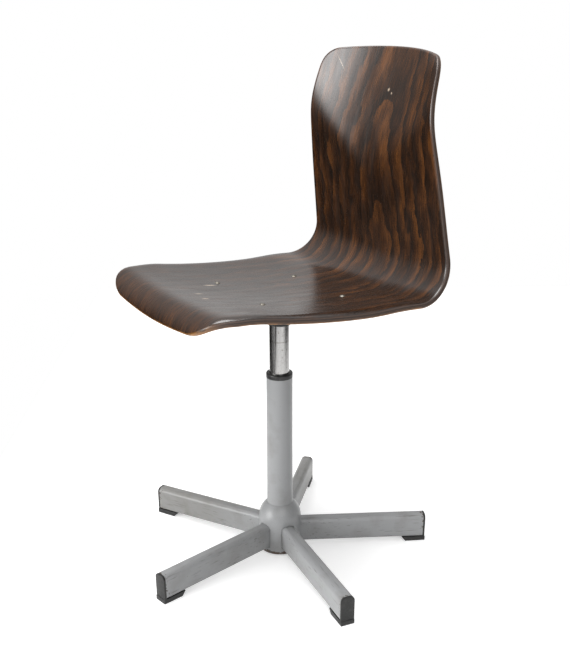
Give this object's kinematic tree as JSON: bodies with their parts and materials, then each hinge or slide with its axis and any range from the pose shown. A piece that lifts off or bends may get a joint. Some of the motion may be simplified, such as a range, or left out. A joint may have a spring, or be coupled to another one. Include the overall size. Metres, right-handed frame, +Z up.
{
  "type": "swivel chair",
  "caption": "Height-adjustable swivel chair: one-piece moulded plywood seat and back on a telescoping steel column with a five-leg star base.",
  "frame": {"origin": "on the floor, on the column's axis", "axes": "+Z up along the column, -Y to the front of the seat, +X to the sitter's left"},
  "size_m": [0.5519, 0.5616, 0.9518],
  "materials": {
    "plywood": "dark stained pressed beech plywood, worn gloss lacquer",
    "grey_paint": "light grey enamel with scuffs",
    "foot_plastic": "charcoal moulded plastic, worn edges",
    "bush_plastic": "black moulded plastic",
    "bright_steel": "bright plated steel, lightly worn",
    "zinc_steel": "zinc plated steel",
    "black_steel": "black painted steel",
    "spring_inner": "turned aluminium",
    "bearing_steel": "polished bearing steel",
    "cage_plastic": "natural nylon",
    "pad_rubber": "black rubber"
  },
  "bodies": {
    "base": {"leg_1": "grey_paint", "leg_2": "grey_paint", "leg_3": "grey_paint", "leg_4": "grey_paint", "leg_5": "grey_paint", "foot_1": "foot_plastic", "foot_2": "foot_plastic", "foot_3": "foot_plastic", "foot_4": "foot_plastic", "foot_5": "foot_plastic", "hub_core": "black_steel", "hub_cover": "grey_paint", "column_outer": "grey_paint", "column_floor": "black_steel", "column_bush": "bush_plastic", "bearing_race_lower": "bearing_steel"},
    "bearing": {"bearing_cage": "cage_plastic", "bearing_balls": "bearing_steel"},
    "piston_rod": {"lift_rod": "bright_steel", "lift_piston": "spring_inner", "piston_nut": "zinc_steel", "rod_clip": "zinc_steel", "bearing_race_upper": "bearing_steel"},
    "seat": {"seat_shell": "plywood", "seat_bolts": "zinc_steel", "seat_nuts": "zinc_steel", "shell_pads": "pad_rubber", "seat_plate": "black_steel", "seat_socket": "black_steel", "lever_bracket": "black_steel", "lever_pivot": "zinc_steel", "gas_cylinder": "black_steel", "rod_gland": "spring_inner", "valve_block": "spring_inner", "cylinder_ring_lower": "spring_inner", "cylinder_ring_upper": "spring_inner", "column_inner": "bright_steel", "column_slider": "bush_plastic"},
    "lever": {"height_lever": "zinc_steel", "lever_grip": "bush_plastic"},
    "release_pin": {"release_pin": "zinc_steel"}
  },
  "joints": [
    {"name": "seat_swivel", "type": "hinge", "parent": "base", "child": "piston_rod", "pos_m": [0, 0, 0.022], "axis": [0, 0, 1], "continuous": true},
    {"name": "bearing_turn", "type": "hinge", "parent": "base", "child": "bearing", "pos_m": [0, 0, 0.0185], "axis": [0, 0, 1], "continuous": true},
    {"name": "seat_height", "type": "slide", "parent": "piston_rod", "child": "seat", "axis": [0, 0, 1], "range_m": [-0.07, 0.06]},
    {"name": "height_lever", "type": "hinge", "parent": "seat", "child": "lever", "pos_m": [-0.042, 0, 0.50074], "axis": [0, 1, 0], "range_deg": [0, 6], "stiffness_Nm_per_rad": 0.8, "springref_deg": -2.86},
    {"name": "release_pin", "type": "slide", "parent": "seat", "child": "release_pin", "axis": [0, 0, -1], "range_m": [0, 0.0046]}
  ],
  "couplings": [
    {"joint": "bearing_turn", "follows": "seat_swivel", "ratio": 0.5},
    {"joint": "release_pin", "follows": "height_lever", "m_per_rad": 0.0421}
  ]
}
